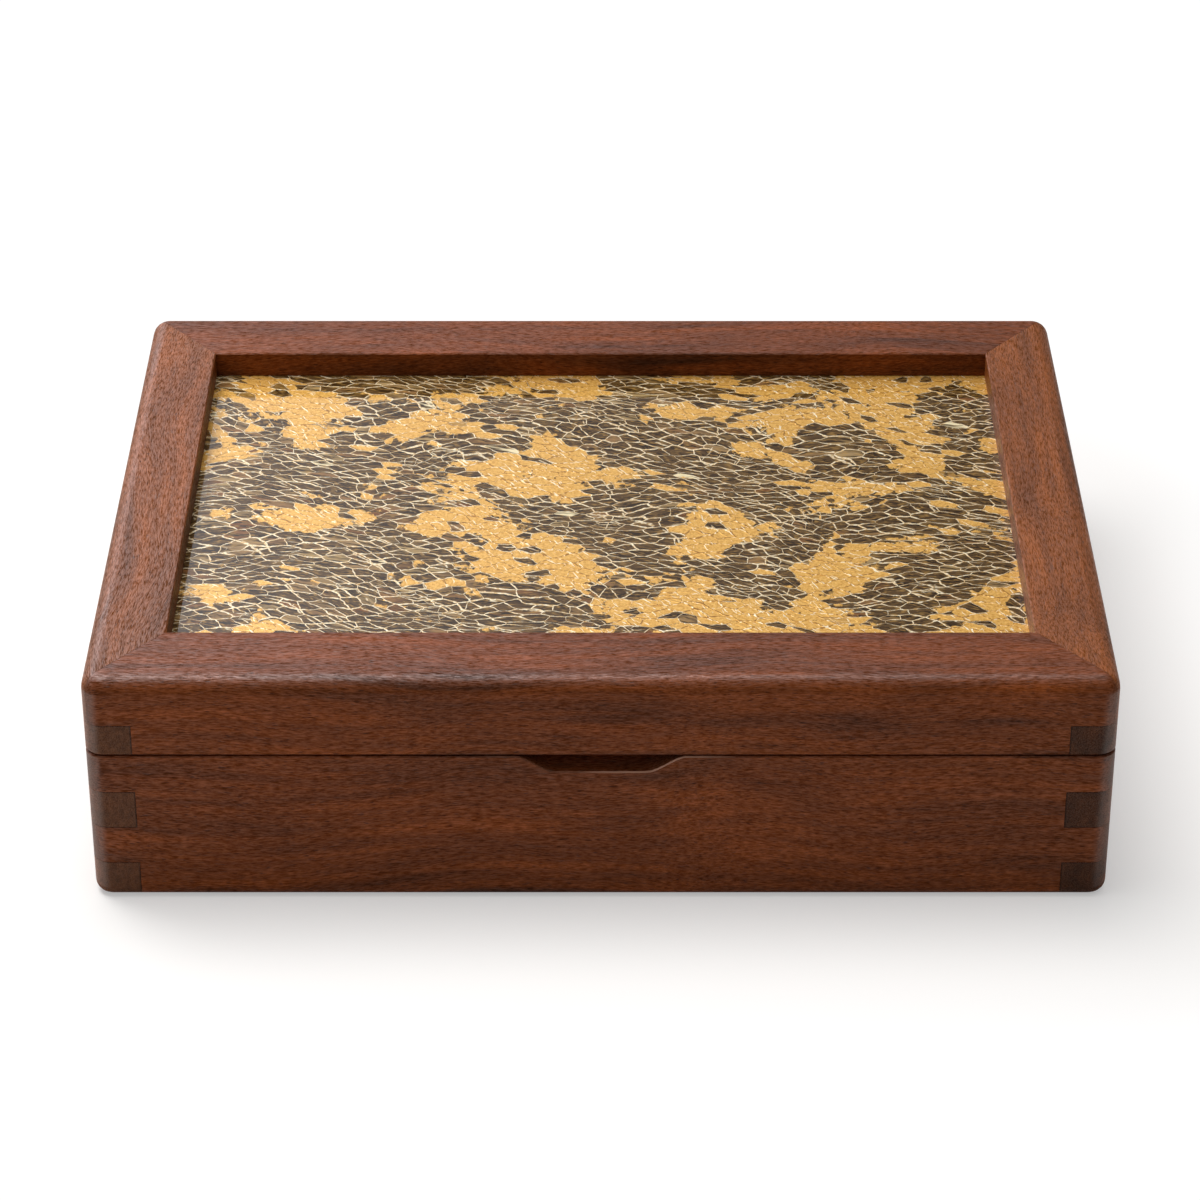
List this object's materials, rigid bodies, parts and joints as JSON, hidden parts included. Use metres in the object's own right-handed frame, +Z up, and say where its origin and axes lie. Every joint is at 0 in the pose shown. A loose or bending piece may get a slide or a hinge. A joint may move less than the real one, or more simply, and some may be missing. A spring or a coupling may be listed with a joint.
{
  "type": "jewelry box",
  "caption": "Rectangular walnut jewelry box with finger-jointed corners, a hinged mitred lid that frames a gilded panel, a finger notch and a lined, divided inside.",
  "frame": {"origin": "middle of the flat underside", "axes": "+X to the right along the front, +Y from the front to the hinged back, +Z up"},
  "size_m": [0.3, 0.2361, 0.0755],
  "materials": {
    "walnut": "oiled, satin",
    "slat_walnut": "oiled, matt",
    "plywood": "bare, sanded",
    "gilding": "broken gold leaf on a dark ground under clear gloss lacquer",
    "velvet": "short pile",
    "brass": "brushed"
  },
  "bodies": {
    "case": {"front_board": "walnut", "right_board": "walnut", "back_board": "walnut", "left_board": "walnut", "base_panel": "walnut", "front_wall_lining": "velvet", "right_wall_lining": "velvet", "back_wall_lining": "velvet", "left_wall_lining": "velvet", "floor_lining": "velvet", "long_divider": "slat_walnut", "left_cross_divider": "slat_walnut", "right_cross_divider": "slat_walnut", "ring_cushion": "velvet", "left_hinge_case_leaf": "brass", "left_hinge_pin": "brass", "left_hinge_case_screw_1": "brass", "left_hinge_case_screw_2": "brass", "right_hinge_case_leaf": "brass", "right_hinge_pin": "brass", "right_hinge_case_screw_1": "brass", "right_hinge_case_screw_2": "brass"},
    "lid": {"lid_front_rail": "walnut", "lid_right_rail": "walnut", "lid_back_rail": "walnut", "lid_left_rail": "walnut", "front_retaining_strip": "walnut", "right_retaining_strip": "walnut", "back_retaining_strip": "walnut", "left_retaining_strip": "walnut", "gilded_panel": "gilding", "backing_board": "plywood", "lid_lining": "velvet", "left_hinge_lid_leaf": "brass", "left_hinge_lid_screw_1": "brass", "left_hinge_lid_screw_2": "brass", "right_hinge_lid_leaf": "brass", "right_hinge_lid_screw_1": "brass", "right_hinge_lid_screw_2": "brass"}
  },
  "joints": [
    {"name": "lid_hinge", "type": "hinge", "parent": "case", "child": "lid", "pos_m": [0, 0.11805, 0.05], "axis": [-1, 0, 0], "range_deg": [0, 95]}
  ]
}
